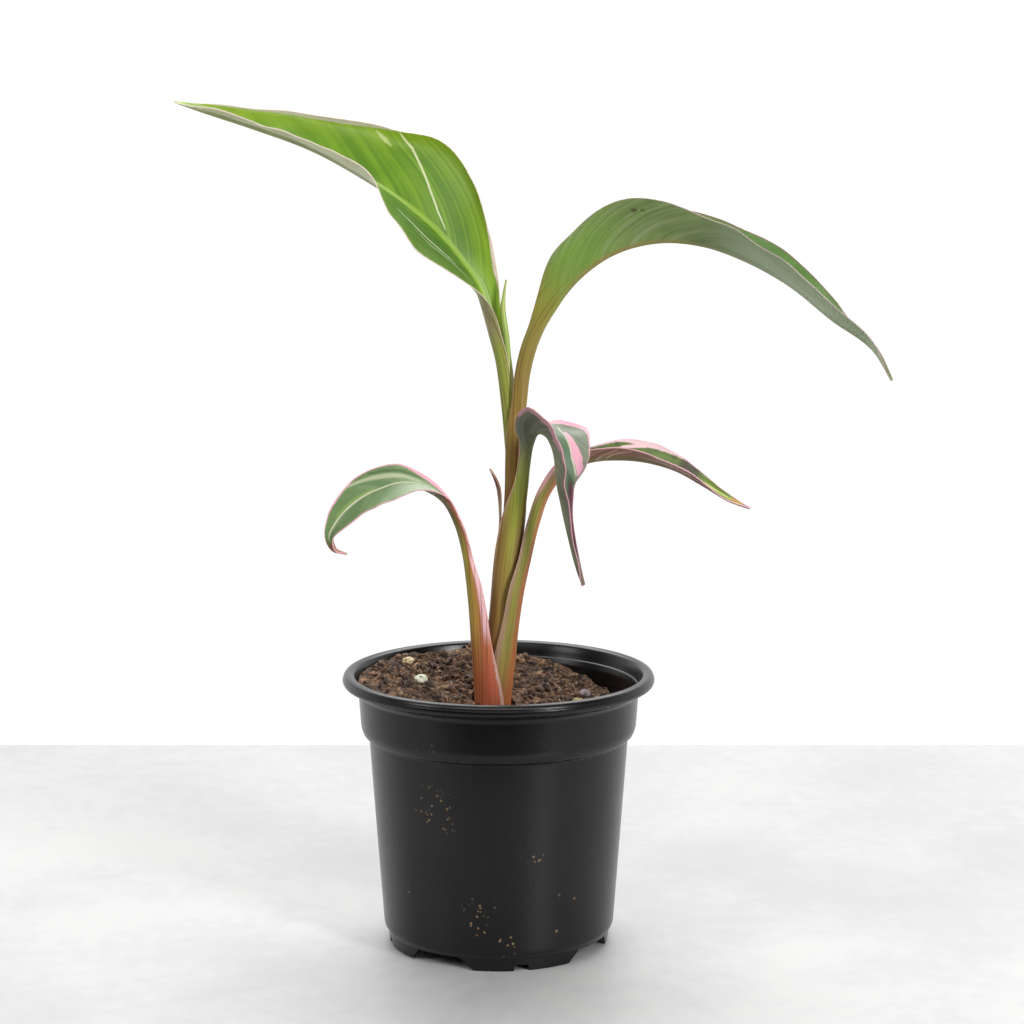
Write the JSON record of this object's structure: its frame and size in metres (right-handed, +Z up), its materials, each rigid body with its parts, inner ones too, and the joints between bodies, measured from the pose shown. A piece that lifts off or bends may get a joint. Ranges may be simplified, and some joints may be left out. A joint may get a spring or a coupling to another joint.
{
  "type": "potted banana plant",
  "caption": "Young variegated banana plant with arching, pink-edged leaves, standing in soil in a round black plastic nursery pot.",
  "frame": {"origin": "middle of the bounding box at the ground, under the pot's foot ring", "axes": "+Z up; +X to the right of the picture, along which the two tall leaves spread; +Y away from the viewer"},
  "size_m": [0.2688, 0.1206, 0.3249],
  "materials": {
    "pot_plastic": "satin black",
    "soil": "rough, dry peat",
    "corm": "fibrous",
    "perlite_lump": "rough",
    "cream_bark_chip": "rough bark",
    "grey_bark_flake": "rough bark",
    "olive_bark_chip": "rough bark",
    "new_leaf_roll": "satin leaf",
    "leaf_upper_left": "satin leaf",
    "leaf_upper_right": "satin leaf",
    "leaf_front_drooping": "satin leaf",
    "leaf_right": "satin leaf",
    "leaf_lower_left": "satin leaf",
    "old_sheath_stub": "satin leaf"
  },
  "bodies": {
    "root": {"pot": "pot_plastic", "soil": "soil", "perlite_lump": "perlite_lump", "cream_bark_chip": "cream_bark_chip", "grey_bark_flake": "grey_bark_flake", "olive_bark_chip": "olive_bark_chip", "corm": "corm", "new_leaf_roll": "new_leaf_roll", "leaf_upper_left": "leaf_upper_left", "leaf_upper_right": "leaf_upper_right", "leaf_front_drooping": "leaf_front_drooping", "leaf_right": "leaf_right", "leaf_lower_left": "leaf_lower_left", "old_sheath_stub": "old_sheath_stub"}
  },
  "joints": []
}
